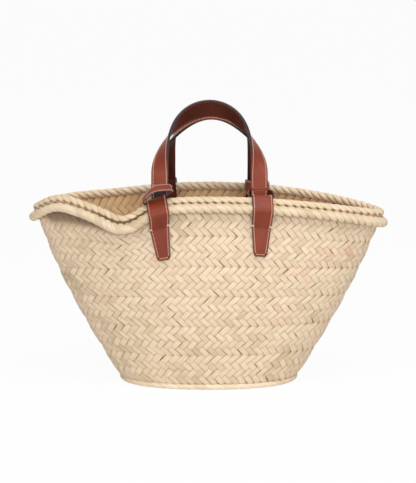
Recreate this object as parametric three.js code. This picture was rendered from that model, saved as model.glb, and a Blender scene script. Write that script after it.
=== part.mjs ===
import * as THREE from 'three';

// Driving dimensions, in millimetres and degrees.
const FIT_GAP = 0.3;
const AROUND = 64;
const LIP_STEPS = 16;
const LIP_FROM = 0.57;
const LIP_TO = 0.72;
const WALL_THICK = 4;
const WALL_BULGE = 1.2;
const COURSES = 6;
const BASE_HALF_LENGTH = 101;
const WALL_FLARE = 129;
const WALL_FLARE_CURVE = -37;
const BASE_HALF_DEPTH = 60;
const DEPTH_SWELL = 30;
const DEPTH_PINCH = -33.5;
const BASE_SQUARENESS = 2.3;
const MOUTH_SQUARENESS = 1.96;
const WALL_TOP = 209.4;
const END_DROOP = 22;
const END_DROOP_POWER = 2;
const FOOT_ROPE_RADIUS = 3.5;
const BASE_THICK = 4;
const BEAD_RADIUS = 5;
const ROLL_RADIUS = 5;
const ROLL_DROP = 4;
const FOOT_ROPE_SIDES = 8;
const RIM_ROPE_SIDES = 12;
const LIP_DIP = 12;
const LIP_DIP_AT = -93.4;
const LIP_DIP_SPREAD = 25;
const LIP_SLOPE = 4;
const LIP_SLOPE_FROM = 20;
const LIP_SLOPE_TO = 100;
const LIP_RISE = 18.5;
const LIP_RISE_AT = -171;
const LIP_RISE_SPREAD = 34;
const LIP_ROLL_OUT = 2;
const LIP_OUT = 8;
const REAR_RISE = 6;
const LIP_DEPTH_POWER = 6;
const TAB_THICK = 2.4;
const TAB_WIDTH = 23.6;
const TAB_TIP_WIDTH = 15.6;
const TAB_END_WIDTH = 12;
const TAB_CLIP = 3.2;
const TAB_BOTTOM = 0.744;
const LEFT_TAB_DROP = 0.02;
const TAB_ON_WALL = 0.885;
const INNER_RUN = 30;
const LOOP_THICK = 1.6;
const LOOP_HALF_WIDTH = 12.7;
const LOOP_SHOULDER = 11;
const LOOP_REACH = 24;
const LOOP_SPAN = 44;
const LOOP_PLAY = 0.1;
const LOOP_FORWARD = 18;
const LOOP_SWAY = 4.5;
const LOOP_LEAN = 56;
const LOOP_DROOP = 28;
const LOOP_THROWN_DROOP = 40;
const FRONT_LEFT_X = 57;
const FRONT_RIGHT_X = 58.8;
const REAR_LEFT_X = 50.2;
const REAR_RIGHT_X = 56.6;
const STRAP_INSET = 2.4;
const INNER_SLACK = 1;
const LEFT_TAB_EASE = 0.45;
const STRAP_WIDTH = 19;
const PLY_THICK = 1.35;
const PIVOT_RISE = 11.8;
const LEG_TOP = 241.5;
const CROWN_TOP = 312.4;
const REAR_CROWN_DROP = 5;
const CROWN_HALF_GAP = 4.2;
const CROWN_TWIST = 137;
const CROWN_TWIST_POWER = 0.92;
const ARCH_STEPS = 44;

const STRAP_THICK = 2 * PLY_THICK + FIT_GAP;
const WALL_START = 2 * FOOT_ROPE_RADIUS + FIT_GAP / 2;
const WALL_RUN = WALL_TOP - WALL_START;
const FOLD_RADIUS = BEAD_RADIUS + LOOP_PLAY + 2 * FIT_GAP + LOOP_THICK + TAB_THICK / 2;

// The four handle fixings; side is -1 at the front and 1 at the rear, x is along the mouth.
// A loop leans forward over its tab, leans into the bag or is thrown back over the outside.
const forward = { drop: LEFT_TAB_DROP, ease: LEFT_TAB_EASE, loopAt: -LOOP_FORWARD, droop: 0 };
forward.sway = LOOP_SWAY;
const leaning = { drop: 0, ease: 0, loopAt: LOOP_LEAN, droop: LOOP_DROOP, sway: 0 };
const thrown = { drop: 0, ease: 0, loopAt: -LOOP_LEAN, droop: -LOOP_THROWN_DROOP, sway: 0 };
function placed(name, side, x, lean, loop) {
  return { name, side, tab: x, strap: x - Math.sign(x) * STRAP_INSET, lean, ...loop };
}
const LEGS = [
  placed('front_left', -1, -FRONT_LEFT_X, 7.7, forward),
  placed('front_right', -1, FRONT_RIGHT_X, 2.4, leaning),
  placed('rear_left', 1, -REAR_LEFT_X, 3, thrown),
  placed('rear_right', 1, REAR_RIGHT_X, 3, leaning),
];

// Small helpers.
const rad = (degrees) => (degrees * Math.PI) / 180;
const bell = (s) => Math.exp(-s * s);
const lerp = THREE.MathUtils.lerp;
const vec = (x, y, z) => new THREE.Vector3(x, y, z);
const power = (v, e) => Math.sign(v) * Math.pow(Math.abs(v), e);

// Middle surface of the basket wall: t runs up the wall, u runs once round it.
function wallPoint(t, u) {
  const angle = 2 * Math.PI * u;
  const a = BASE_HALF_LENGTH + WALL_FLARE * t + WALL_FLARE_CURVE * t * t;
  const b = BASE_HALF_DEPTH + DEPTH_SWELL * t + DEPTH_PINCH * t * t;
  const e = 2 / lerp(BASE_SQUARENESS, MOUTH_SQUARENESS, t);
  const x = a * power(Math.cos(angle), e);
  let y = b * power(Math.sin(angle), e);
  const droop = END_DROOP * t * t * power(Math.abs(x / a), END_DROOP_POWER);
  let z = WALL_START + WALL_RUN * t - droop;
  const front = THREE.MathUtils.smoothstep(-Math.sin(angle), -0.6, 0.6);
  const high = Math.pow(Math.max(t, 0), LIP_DEPTH_POWER);
  const slope = LIP_SLOPE * THREE.MathUtils.smoothstep(-x, LIP_SLOPE_FROM, LIP_SLOPE_TO);
  const dip = slope + LIP_DIP * bell((x - LIP_DIP_AT) / LIP_DIP_SPREAD);
  const rise = LIP_RISE * bell((x - LIP_RISE_AT) / LIP_RISE_SPREAD);
  const back = REAR_RISE * bell((x - LIP_RISE_AT) / (1.3 * LIP_RISE_SPREAD));
  z += high * (front * (rise - dip) + (1 - front) * back);
  y -= high * front * LIP_OUT * bell((x - LIP_DIP_AT) / LIP_DIP_SPREAD);
  return vec(x, y, z);
}

// Places round the basket, closer together at the curled lip.
function stepAt(i) {
  const plain = AROUND - LIP_STEPS;
  const before = Math.round((plain * LIP_FROM) / (1 - LIP_TO + LIP_FROM));
  if (i < before) {
    return (LIP_FROM * i) / before;
  }
  if (i < before + LIP_STEPS) {
    return lerp(LIP_FROM, LIP_TO, (i - before) / LIP_STEPS);
  }
  return lerp(LIP_TO, 1, (i - before - LIP_STEPS) / (plain - before));
}

// Local frame of the wall: along the rim, up the wall and out of it.
function wallFrame(t, u) {
  const h = 1e-4;
  const point = wallPoint(t, u);
  const along = wallPoint(t, u + h).sub(wallPoint(t, u - h)).normalize();
  const up = wallPoint(t + h, u).sub(wallPoint(t - h, u));
  up.addScaledVector(along, -up.dot(along)).normalize();
  const out = along.clone().cross(up).normalize();
  return { point, along, up, out };
}

function onWall(t, u, off, rise) {
  const f = wallFrame(t, u);
  return f.point.addScaledVector(f.out, off).addScaledVector(f.up, rise);
}

// Builds a closed body from points and faces, turned to face outwards.
function solid(points, faces) {
  let volume = 0;
  for (const [i, j, k] of faces) {
    volume += points[i].dot(points[j].clone().cross(points[k]));
  }
  const index = faces.flatMap(([i, j, k]) => (volume < 0 ? [i, k, j] : [i, j, k]));
  const geometry = new THREE.BufferGeometry();
  geometry.setFromPoints(points);
  geometry.setIndex(index);
  geometry.computeVertexNormals();
  return geometry;
}

function quad(faces, a, b, c, d) {
  faces.push([a, b, c], [a, c, d]);
}

// Sweeps rows of section points; rows close on themselves when looped.
// The faces from `turned` on are split the other way, so both sides of a strap match.
function skin(rows, looped, turned = Infinity) {
  const points = rows.flat();
  const m = rows[0].length;
  const n = rows.length;
  const faces = [];
  for (let i = 0; i < (looped ? n : n - 1); i += 1) {
    const p = i * m;
    const q = ((i + 1) % n) * m;
    for (let j = 0; j < m; j += 1) {
      const k = (j + 1) % m;
      if (j < turned) {
        quad(faces, p + j, p + k, q + k, q + j);
      } else {
        quad(faces, p + k, q + k, q + j, p + j);
      }
    }
  }
  if (!looped) {
    for (let j = 1; j < m - 1; j += 1) {
      faces.push([0, j + 1, j]);
      faces.push([(n - 1) * m, (n - 1) * m + j, (n - 1) * m + j + 1]);
    }
  }
  return solid(points, faces);
}

function roundBasket(section) {
  const rows = [];
  for (let i = 0; i < AROUND; i += 1) {
    rows.push(section(stepAt(i)));
  }
  return skin(rows, true);
}

// One row of the plaited wall, slightly bulged between its two seams.
function course(index) {
  const trim = (0.6 * FIT_GAP) / WALL_RUN;
  const low = index / COURSES + trim;
  const high = (index + 1) / COURSES - trim;
  return roundBasket((u) => {
    const ring = [];
    for (const s of [-1, -0.5, 0, 0.5, 1]) {
      const swell = WALL_BULGE * (1 - s * s);
      ring.push(onWall(lerp(low, high, (s + 1) / 2), u, WALL_THICK / 2 + swell, 0));
    }
    for (const s of [1, 0, -1]) {
      const swell = WALL_BULGE * (1 - s * s);
      ring.push(onWall(lerp(low, high, (s + 1) / 2), u, swell - WALL_THICK / 2, 0));
    }
    return ring;
  });
}

function beadCentre(u) {
  return onWall(1, u, 0, BEAD_RADIUS + FIT_GAP * 0.75);
}

function swellAt(t) {
  const s = 2 * ((t * COURSES) % 1) - 1;
  return WALL_BULGE * (1 - s * s);
}

// The roll lies against the top course, just clear of its bulge.
function rollCentre(u) {
  const off = WALL_THICK / 2 + FIT_GAP + ROLL_RADIUS;
  let extra = 0;
  for (let pass = 0; pass < 4; pass += 1) {
    const middle = onWall(1, u, off + extra, -ROLL_DROP);
    let nearest = Infinity;
    for (const step of [-0.005, 0, 0.005]) {
      for (let i = 0; i <= 14; i += 1) {
        const t = 1 - 0.001 - 0.006 * i;
        const skinPoint = onWall(t, u + step, WALL_THICK / 2 + swellAt(t), 0);
        nearest = Math.min(nearest, skinPoint.distanceTo(middle));
      }
    }
    extra += ROLL_RADIUS + FIT_GAP - nearest;
  }
  const f = wallPoint(1, u);
  const lip = f.y < 0 ? LIP_ROLL_OUT * bell((f.x - LIP_DIP_AT) / LIP_DIP_SPREAD) : 0;
  return onWall(1, u, off + extra + lip, -ROLL_DROP);
}

// A round rope laid along the wall.
function rope(centre, radius, corners, levelled) {
  return roundBasket((u) => {
    const f = wallFrame(levelled ? 0 : 1, u);
    const out = levelled ? vec(f.out.x, f.out.y, 0).normalize() : f.out;
    const up = levelled ? vec(0, 0, 1) : f.up;
    const middle = centre(u);
    const ring = [];
    for (let j = 0; j < corners; j += 1) {
      const a = (2 * Math.PI * j) / corners;
      const p = middle.clone().addScaledVector(out, radius * Math.cos(a));
      ring.push(p.addScaledVector(up, radius * Math.sin(a)));
    }
    return ring;
  });
}

function footRopeCentre(u) {
  const f = wallFrame(0, u);
  const p = f.point.addScaledVector(f.up, -FOOT_ROPE_RADIUS);
  p.z = FOOT_ROPE_RADIUS;
  return p;
}

// The oval mat closes the bottom inside the foot rope.
function baseMat() {
  const points = [vec(0, 0, 0), vec(0, 0, BASE_THICK)];
  const faces = [];
  for (let i = 0; i < AROUND; i += 1) {
    const f = wallFrame(0, stepAt(i));
    const edge = footRopeCentre(stepAt(i));
    const out = vec(f.out.x, f.out.y, 0).normalize();
    edge.addScaledVector(out, -FOOT_ROPE_RADIUS - FIT_GAP);
    points.push(vec(edge.x, edge.y, 0), vec(edge.x, edge.y, BASE_THICK));
  }
  for (let i = 0; i < AROUND; i += 1) {
    const p = 2 + 2 * i;
    const q = 2 + 2 * ((i + 1) % AROUND);
    faces.push([0, q, p], [1, p + 1, q + 1]);
    quad(faces, p, q, q + 1, p + 1);
  }
  return solid(points, faces);
}

// Place round the rim where a given x lies on the front or the rear side.
function placeAt(x, side, curve) {
  let low = side < 0 ? 0.5 : 0;
  let high = side < 0 ? 1 : 0.5;
  for (let i = 0; i < 40; i += 1) {
    const middle = (low + high) / 2;
    const bigger = curve(middle).x > x;
    const rises = side < 0;
    if (bigger === rises) {
      high = middle;
    } else {
      low = middle;
    }
  }
  return (low + high) / 2;
}

// Frame of one handle fixing: centred on the bead, out of the basket, up.
function fixing(leg) {
  const u = placeAt(leg.tab, leg.side, beadCentre);
  const middle = beadCentre(u);
  const h = 0.0104;
  const across = beadCentre(u + h).sub(beadCentre(u - h)).multiplyScalar(-leg.side).normalize();
  const out = vec(-across.y, across.x, 0).multiplyScalar(leg.side).normalize();
  const up = across.clone().cross(out).multiplyScalar(leg.side).normalize();
  const roll = { out: 0, up: -Infinity, low: Infinity };
  for (const step of [-h, 0, h]) {
    const away = rollCentre(u + step).sub(middle);
    roll.out = Math.max(roll.out, away.dot(out));
    roll.up = Math.max(roll.up, away.dot(up));
    roll.low = Math.min(roll.low, away.dot(up));
  }
  return { u, middle, across, out, up, roll };
}

// Turns a station list into a strap of rectangular section.
function strap(stations) {
  return skin(
    stations.map((s) => {
      const w = s.across.clone().multiplyScalar(s.width / 2);
      const n = s.normal.clone().multiplyScalar(s.thick / 2);
      return [
        s.point.clone().add(w).add(n),
        s.point.clone().sub(w).add(n),
        s.point.clone().sub(w).sub(n),
        s.point.clone().add(w).sub(n),
      ];
    }),
    false,
    2,
  );
}

// Inner run of the tab behind the bead, as out and up from the bead centre.
function innerRun(rise) {
  const depth = Math.min(Math.max(-rise / INNER_RUN, 0), 1);
  const low = WALL_THICK / 2 + FIT_GAP + TAB_THICK / 2 + INNER_SLACK;
  return -lerp(FOLD_RADIUS, low, depth * depth);
}

function tab(leg) {
  const f = fixing(leg);
  const stations = [];
  const put = (out, up, normalOut, normalUp) => {
    const point = f.middle.clone().addScaledVector(f.out, out).addScaledVector(f.up, up);
    const normal = f.out.clone().multiplyScalar(normalOut).addScaledVector(f.up, normalUp);
    normal.normalize();
    stations.push({ point, across: f.across, normal, width: TAB_WIDTH, thick: TAB_THICK });
  };
  for (let i = 0; i < 4; i += 1) {
    const rise = -INNER_RUN * (1 - i / 4);
    const slope = (innerRun(rise + 0.5) - innerRun(rise - 0.5)) / 1;
    put(innerRun(rise), rise, -1, slope);
  }
  const reach = Math.hypot(f.roll.out, f.roll.up);
  const over = ROLL_RADIUS + FIT_GAP + TAB_THICK / 2 + leg.ease;
  const line = Math.atan2(f.roll.up, f.roll.out);
  const leave = line + Math.acos((FOLD_RADIUS - over) / reach);
  for (let i = 0; i <= 10; i += 1) {
    const a = lerp(Math.PI, leave, i / 10);
    put(FOLD_RADIUS * Math.cos(a), FOLD_RADIUS * Math.sin(a), Math.cos(a), Math.sin(a));
  }
  for (let i = 0; i <= 4; i += 1) {
    const a = lerp(leave, rad(-28), i / 4);
    const out = f.roll.out + over * Math.cos(a);
    const rise = lerp(f.roll.up, f.roll.low, i / 4);
    put(out, rise + over * Math.sin(a), Math.cos(a), Math.sin(a));
  }
  const lift = WALL_THICK / 2 + WALL_BULGE + FIT_GAP + TAB_THICK / 2;
  const inward = -Math.sign(leg.tab) * Math.tan(rad(leg.lean));
  const wallHeight = (t) => (1 - t) * WALL_RUN;
  const bottom = TAB_BOTTOM - leg.drop;
  const tips = [];
  for (let i = 0; i <= 6; i += 1) {
    const t = lerp(TAB_ON_WALL, bottom, i / 6);
    const narrowed = lerp(TAB_WIDTH, TAB_TIP_WIDTH, Math.pow(i / 6, 1.1));
    tips.push([t, narrowed]);
  }
  tips.push([bottom - TAB_CLIP / WALL_RUN, TAB_END_WIDTH]);
  for (const [t, width] of tips) {
    const x = leg.tab + inward * wallHeight(t);
    const u = placeAt(x, leg.side, (v) => wallPoint(t, v));
    const w = wallFrame(t, u);
    const point = w.point.addScaledVector(w.out, lift);
    const across = w.along.clone().multiplyScalar(-leg.side);
    const lean = w.up.clone().multiplyScalar(inward);
    across.add(lean).normalize();
    stations.push({ point, across, normal: w.out, width, thick: TAB_THICK });
  }
  return strap(stations);
}

// Where a strap bends at the rim, shared by the two legs of one handle.
function pivot(side) {
  const pair = LEGS.filter((leg) => leg.side === side).map(fixing);
  const inside = FOLD_RADIUS + TAB_THICK / 2 + FIT_GAP + STRAP_THICK / 2;
  const depths = pair.map((f) => Math.abs(f.middle.y) - inside);
  const heights = pair.map((f) => f.middle.z);
  return {
    y: side * Math.min(...depths),
    z: Math.max(...heights) + PIVOT_RISE,
  };
}

// The sewn lower end of a strap, flat on the inner run of its tab.
function strapFoot(leg) {
  const f = fixing(leg);
  const hinge = pivot(leg.side);
  const gap = TAB_THICK / 2 + FIT_GAP + STRAP_THICK / 2;
  const stations = [];
  const shift = (leg.strap - f.middle.x) / f.across.x;
  for (let i = 0; i <= 4; i += 1) {
    const rise = -INNER_RUN * (1 - i / 4);
    const slope = innerRun(rise + 0.5) - innerRun(rise - 0.5);
    const normal = f.out.clone().addScaledVector(f.up, -slope).normalize();
    const point = f.middle.clone().addScaledVector(f.across, shift);
    point.addScaledVector(f.out, innerRun(rise)).addScaledVector(normal, -gap);
    point.addScaledVector(f.up, rise);
    stations.push({ point, across: f.across, normal, width: STRAP_WIDTH, thick: STRAP_THICK });
  }
  const end = vec(leg.strap, hinge.y, hinge.z - STRAP_THICK / 2 - FIT_GAP);
  stations.push({
    point: end,
    across: vec(1, 0, 0),
    normal: vec(0, leg.side, 0),
    width: STRAP_WIDTH,
    thick: STRAP_THICK,
  });
  return strap(stations);
}

// Middle line, width and face directions of a whole handle.
function archStation(side, share) {
  const [a, b] = LEGS.filter((leg) => leg.side === side).map((leg) => leg.strap);
  const hinge = pivot(side);
  const half = Math.abs(b - a) / 2;
  const middle = (a + b) / 2;
  const top = CROWN_TOP - (side > 0 ? REAR_CROWN_DROP : 0);
  const tilt = Math.atan2(side * CROWN_HALF_GAP - hinge.y, top - hinge.z);
  const lift = vec(0, Math.sin(tilt), Math.cos(tilt));
  const front = vec(0, side * Math.cos(tilt), -side * Math.sin(tilt));
  const scale = 1 / Math.cos(tilt);
  const legRun = (LEG_TOP - hinge.z) * scale;
  const archRun = (top - LEG_TOP) * scale;
  const point = vec(0, hinge.y, hinge.z);
  let angle = 0;
  if (share < 0 || share > 1) {
    const down = share < 0 ? -share : share - 1;
    angle = share < 0 ? 0 : Math.PI;
    point.x = middle - half * Math.cos(angle);
    point.addScaledVector(lift, legRun * (1 - down));
  } else {
    angle = Math.PI * share;
    point.x = middle - half * Math.cos(angle);
    point.addScaledVector(lift, legRun + archRun * Math.sin(angle));
  }
  const run = vec(half * Math.sin(angle), 0, 0);
  run.addScaledVector(lift, archRun * Math.cos(angle)).normalize();
  const face = front.clone();
  const inner = run.clone().cross(face).multiplyScalar(-side).normalize();
  const roll = rad(CROWN_TWIST) * power(Math.sin(angle), CROWN_TWIST_POWER);
  const across = inner.multiplyScalar(Math.cos(roll)).addScaledVector(face, Math.sin(roll));
  const normal = across.clone().cross(run).multiplyScalar(-side).normalize();
  return { point, across, normal, run };
}

// One ply of a handle; the free ends are bevelled towards the bending line.
function handlePly(side, outer) {
  const shift = (outer ? 1 : -1) * (FIT_GAP + PLY_THICK) / 2;
  const shares = [-1, -0.5];
  for (let i = 0; i <= ARCH_STEPS; i += 1) {
    shares.push(i / ARCH_STEPS);
  }
  shares.push(1.5, 2);
  const rows = shares.map((share) => {
    const s = archStation(side, share);
    const w = s.across.clone().multiplyScalar(STRAP_WIDTH / 2);
    const middle = s.point.clone().addScaledVector(s.normal, shift);
    const n = s.normal.clone().multiplyScalar(PLY_THICK / 2);
    const row = [
      middle.clone().add(w).add(n),
      middle.clone().sub(w).add(n),
      middle.clone().sub(w).sub(n),
      middle.clone().add(w).sub(n),
    ];
    if (share === -1 || share === 2) {
      const along = s.run.clone().multiplyScalar(share < 0 ? -1 : 1);
      const reach = STRAP_THICK / 2 - FIT_GAP / 2;
      const near = outer ? [2, 3] : [0, 1];
      near.forEach((j) => row[j].addScaledVector(along, reach));
    }
    return row;
  });
  return skin(rows, false, 2);
}

// A keeper loop, standing out radially from the bead round tab and strap.
function keeperLoop(leg) {
  const f = fixing(leg);
  const widths = 4;
  const under = BEAD_RADIUS + FIT_GAP + LOOP_PLAY;
  const archSteps = 16;
  const path = (grow) => {
    const half = LOOP_HALF_WIDTH + grow;
    const bottom = under + LOOP_THICK - grow;
    const line = [];
    for (let i = 0; i <= archSteps; i += 1) {
      const a = (Math.PI * i) / archSteps;
      const swell = (LOOP_REACH + grow - LOOP_SHOULDER) * power(Math.sin(a), 0.8);
      line.push([half * power(Math.cos(a), 0.6), LOOP_SHOULDER + (i % archSteps ? swell : 0)]);
    }
    for (const share of [-1, -0.5, 0, 0.5, 1]) {
      line.push([half * share, bottom]);
    }
    return line;
  };
  const inside = path(0);
  const outside = path(LOOP_THICK);
  const at = (x, r, v) => {
    const swing = leg.loopAt + (leg.droop * (r - under)) / (LOOP_REACH - under);
    const a = rad(swing + (v * LOOP_SPAN) / 2);
    const sway = leg.sway * Math.max((r - LOOP_SHOULDER) / (LOOP_REACH - LOOP_SHOULDER), 0);
    const p = f.middle.clone().addScaledVector(f.across, x - Math.sign(leg.tab) * sway);
    return p.addScaledVector(f.out, -r * Math.sin(a)).addScaledVector(f.up, r * Math.cos(a));
  };
  const rows = inside.map((point, k) => {
    const row = [];
    for (let j = 0; j <= widths; j += 1) {
      row.push(at(...outside[k], (2 * j) / widths - 1));
    }
    for (let j = widths; j >= 0; j -= 1) {
      row.push(at(...point, (2 * j) / widths - 1));
    }
    return row;
  });
  return skin(rows, true);
}

// Materials, one per mesh.
const palm = () => new THREE.MeshStandardMaterial({ color: 0xe6cba2, roughness: 0.75 });
const palmRope = () => new THREE.MeshStandardMaterial({ color: 0xeed8b2, roughness: 0.7 });
const tan = () => new THREE.MeshStandardMaterial({ color: 0x9a472a, roughness: 0.42 });
const lining = () => new THREE.MeshStandardMaterial({ color: 0x4e231a, roughness: 0.5 });

const parts = [];
function add(name, geometry, material) {
  const mesh = new THREE.Mesh(geometry, material);
  mesh.name = name;
  parts.push(mesh);
}

add('base_mat', baseMat(), palm());
add('foot_rope', rope(footRopeCentre, FOOT_ROPE_RADIUS, FOOT_ROPE_SIDES, true), palmRope());
for (let k = 0; k < COURSES; k += 1) {
  add(`wall_course_${k + 1}`, course(k), palm());
}
add('rim_top_bead', rope(beadCentre, BEAD_RADIUS, RIM_ROPE_SIDES, false), palmRope());
add('rim_outer_roll', rope(rollCentre, ROLL_RADIUS, RIM_ROPE_SIDES, false), palmRope());
for (const leg of LEGS) {
  add(`tab_${leg.name}`, tab(leg), tan());
  add(`strap_foot_${leg.name}`, strapFoot(leg), tan());
  add(`keeper_loop_${leg.name}`, keeperLoop(leg), tan());
}
for (const [name, side] of [['front', -1], ['rear', 1]]) {
  add(`${name}_handle_outer_ply`, handlePly(side, true), tan());
  add(`${name}_handle_lining`, handlePly(side, false), lining());
}

// Centre the whole bag over the origin, standing on z = 0.
const group = new THREE.Group();
group.name = 'basket_bag';
parts.forEach((mesh) => group.add(mesh));
group.updateMatrixWorld(true);
const box = new THREE.Box3().setFromObject(group);
const centre = box.getCenter(vec(0, 0, 0));
parts.forEach((mesh) => mesh.position.set(-centre.x, -centre.y, -box.min.z));

export default group;
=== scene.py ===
import math

import bpy
import numpy as np
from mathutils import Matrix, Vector


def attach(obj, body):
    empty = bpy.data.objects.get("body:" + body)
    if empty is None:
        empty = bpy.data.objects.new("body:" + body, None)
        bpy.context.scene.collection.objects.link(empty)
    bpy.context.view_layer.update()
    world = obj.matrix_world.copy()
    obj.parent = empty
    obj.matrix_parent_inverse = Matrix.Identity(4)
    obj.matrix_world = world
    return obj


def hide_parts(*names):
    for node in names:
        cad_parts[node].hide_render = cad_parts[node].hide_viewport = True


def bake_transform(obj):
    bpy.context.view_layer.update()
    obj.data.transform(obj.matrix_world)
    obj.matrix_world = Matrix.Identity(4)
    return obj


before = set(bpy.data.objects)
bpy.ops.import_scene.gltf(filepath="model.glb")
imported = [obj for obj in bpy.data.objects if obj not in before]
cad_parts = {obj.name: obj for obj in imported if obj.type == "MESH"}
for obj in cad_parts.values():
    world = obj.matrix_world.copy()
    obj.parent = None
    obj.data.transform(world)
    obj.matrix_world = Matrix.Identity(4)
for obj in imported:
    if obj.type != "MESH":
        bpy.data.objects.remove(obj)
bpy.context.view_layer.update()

# Sizes of the bag in millimetres, as in the part's source.
GAP = 0.3
WALL_THICK = 4.0
WALL_BULGE = 1.2
COURSES = 6
BASE_HALF_LENGTH = 101.0
WALL_FLARE = 129.0
WALL_FLARE_CURVE = -37.0
BASE_HALF_DEPTH = 60.0
DEPTH_SWELL = 30.0
DEPTH_PINCH = -33.5
BASE_SQUARENESS = 2.3
MOUTH_SQUARENESS = 1.96
WALL_START = 7.15
WALL_RUN = 202.25
END_DROOP = 22.0
LIP_DIP = 12.0
LIP_DIP_AT = -93.4
LIP_DIP_SPREAD = 25.0
LIP_SLOPE = 4.0
LIP_SLOPE_FROM = 20.0
LIP_SLOPE_TO = 100.0
LIP_RISE = 18.5
LIP_RISE_AT = -171.0
LIP_RISE_SPREAD = 34.0
LIP_ROLL_OUT = 2.0
LIP_OUT = 8.0
LIP_DEPTH_POWER = 6
REAR_RISE = 6.0
BEAD_RADIUS = 5.0
ROLL_RADIUS = 5.0
ROLL_DROP = 4.0
FOOT_RADIUS = 3.5
TAB_THICK = 2.4
TAB_WIDTH = 23.6
TAB_TIP_WIDTH = 15.6
TAB_END_WIDTH = 12.0
TAB_CLIP = 3.2
TAB_BOTTOM = 0.744
LEFT_TAB_DROP = 0.02
TAB_ON_WALL = 0.885
INNER_RUN = 30.0
INNER_SLACK = 1.0
LOOP_THICK = 1.6
LOOP_PLAY = 0.1
LOOP_HALF_WIDTH = 12.7
LOOP_SHOULDER = 11.0
LOOP_SPAN = 44.0
STRAP_WIDTH = 19.0
STRAP_THICK = 3.0
STRAP_INSET = 2.4
PIVOT_RISE = 11.8
LEG_TOP = 241.5
CROWN_TOP = 312.4
REAR_CROWN_DROP = 5.0
CROWN_HALF_GAP = 4.2
CROWN_TWIST = 137.0
CROWN_TWIST_POWER = 0.92
FOLD_RADIUS = BEAD_RADIUS + LOOP_PLAY + 2 * GAP + LOOP_THICK + TAB_THICK / 2
TAU = 2 * math.pi

# From the middle of these sizes to the middle of the frame.
SHIFT = np.array([0.0706, -3.4231, 0.0])

# Tabs and loops are drawn thinner than their solids, tab folds closer to the bead,
# and loops with a little more room to the sides and off the bead.
TAB_LOOK = 2.0
TAB_FOLD = 7.3
TAB_SLANT = 0.4
TAB_NECK_WIDTH = 21.6
NOTCH_WIDTH = 21.9
NOTCH_ABOVE_TACK = 2.0
TAB_HALF_SHARE = 0.0104
TAB_LEAVES_ROLL = -28
TIP_SEAM_INSET = 2.4
TACK_INSIDE = 3.4
TACK_OUTSIDE = 0.2
LOOP_LOOK = 1.1
LOOP_WIDER = 0.45
LOOP_OFF_BEAD = 0.25
PLY_APART = 0.03
# Strength of the shade painted on the front left strap under its loop, and the heights over the pivot
# between which it fades out.
LOOP_SHADE = 0.92
SHADE_FADE = (3.0, 6.0)
BEND_REACH = 9.0

# Sizes of the plait, the ropes and the sewing.
STRIP_PITCH = 8.9
STRIP_FILL = (0.97, 1.05)
STRIP_RISE = 0.5
STRIP_CROWN = 0.26
STRIP_REACH = 1.12
STRIP_MAP = 6.2
EDGE_STRETCH = 1.12
SKIRT_DROP = 0.8
PLAIT_LIFT = 1.35
BAND_ROWS = 4
TOP_LEVELS = (0, 0.26, 0.52, 0.88)
TOP_INNER_LEVELS = (0, 0.31, 0.63, 0.98)
COURSE_TRIM = 0.0009
COURSE_CORE_HALF = 0.5
MAT_HEIGHT = 2.1
MAT_INSET = 0.6
MAT_HALF_LINE = 44.0
MAT_CORE_HALF = 0.8
MAT_RINGS = ((0.0, 0.55, 4), (0.55, 0.985, 3))
FOOT_PITCH = 9.0
RIDGE_POWER = 0.45
TOOTH_POWER = 1.6
RIM_FULLNESS = 0.2
STITCH_PITCH = 2.8
STITCH_INSET = 2.1
LOOP_STITCH_INSET = 1.7

# Shares round the rim between which the curled lip, the shade painted under it and the
# shade painted in the valley beside it come in and fade out.
LIP_SPAN = (0.52, 0.58, 0.66, 0.71)
LIP_SHADE_SPAN = (0.53, 0.57, 0.655, 0.69)
VALLEY_SPAN = (0.62, 0.65, 0.69, 0.71)

# The photo's height and the camera's focal length in its pixels, and the width of
# the camera's sensor in millimetres.
PHOTO_HEIGHT = 483
PHOTO_FOCAL = 1870
SENSOR = 36

rng = np.random.default_rng(11)


# A power that keeps the sign.
def power(v, e):
    return np.sign(v) * np.abs(v) ** e


def bell(s):
    return np.exp(-s * s)


def smooth(v, low, high):
    c = np.clip((v - low) / (high - low), 0, 1)
    return c * c * (3 - 2 * c)


# Comes in from a to b and fades out from c to d.
def window(v, a, b, c, d):
    return smooth(v, a, b) * (1 - smooth(v, c, d))


def unit(v):
    return v / np.maximum(np.linalg.norm(v, axis=-1, keepdims=True), 1e-12)


def dot(a, b):
    return (a * b).sum(-1, keepdims=True)


def around_by(r, angle):
    return np.stack([r * np.cos(angle), r * np.sin(angle)], -1)


# How far along a line each of its points lies.
def run_of(points):
    steps = np.linalg.norm(np.diff(points, axis=0), axis=1)
    return np.concatenate([[0], np.cumsum(steps)])


def between(s, at, rows):
    return np.stack([np.interp(s, at, column) for column in rows.T], -1)


# Middle surface of the basket wall: t runs up it and u once round it.
def wall(t, u):
    t, u = np.broadcast_arrays(np.asarray(t, float), np.asarray(u, float))
    angle = TAU * u
    a = BASE_HALF_LENGTH + WALL_FLARE * t + WALL_FLARE_CURVE * t * t
    b = BASE_HALF_DEPTH + DEPTH_SWELL * t + DEPTH_PINCH * t * t
    e = 2 / (BASE_SQUARENESS + (MOUTH_SQUARENESS - BASE_SQUARENESS) * t)
    x = a * power(np.cos(angle), e)
    y = b * power(np.sin(angle), e)
    z = WALL_START + WALL_RUN * t - END_DROOP * t * t * (x / a) ** 2
    front = smooth(-np.sin(angle), -0.6, 0.6)
    high = np.maximum(t, 0) ** LIP_DEPTH_POWER
    lip = bell((x - LIP_DIP_AT) / LIP_DIP_SPREAD)
    dip = LIP_SLOPE * smooth(-x, LIP_SLOPE_FROM, LIP_SLOPE_TO) + LIP_DIP * lip
    rise = LIP_RISE * bell((x - LIP_RISE_AT) / LIP_RISE_SPREAD)
    back = REAR_RISE * bell((x - LIP_RISE_AT) / (1.3 * LIP_RISE_SPREAD))
    z = z + high * (front * (rise - dip) + (1 - front) * back)
    y = y - high * front * LIP_OUT * lip
    return np.stack([x, y, z], -1)


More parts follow.
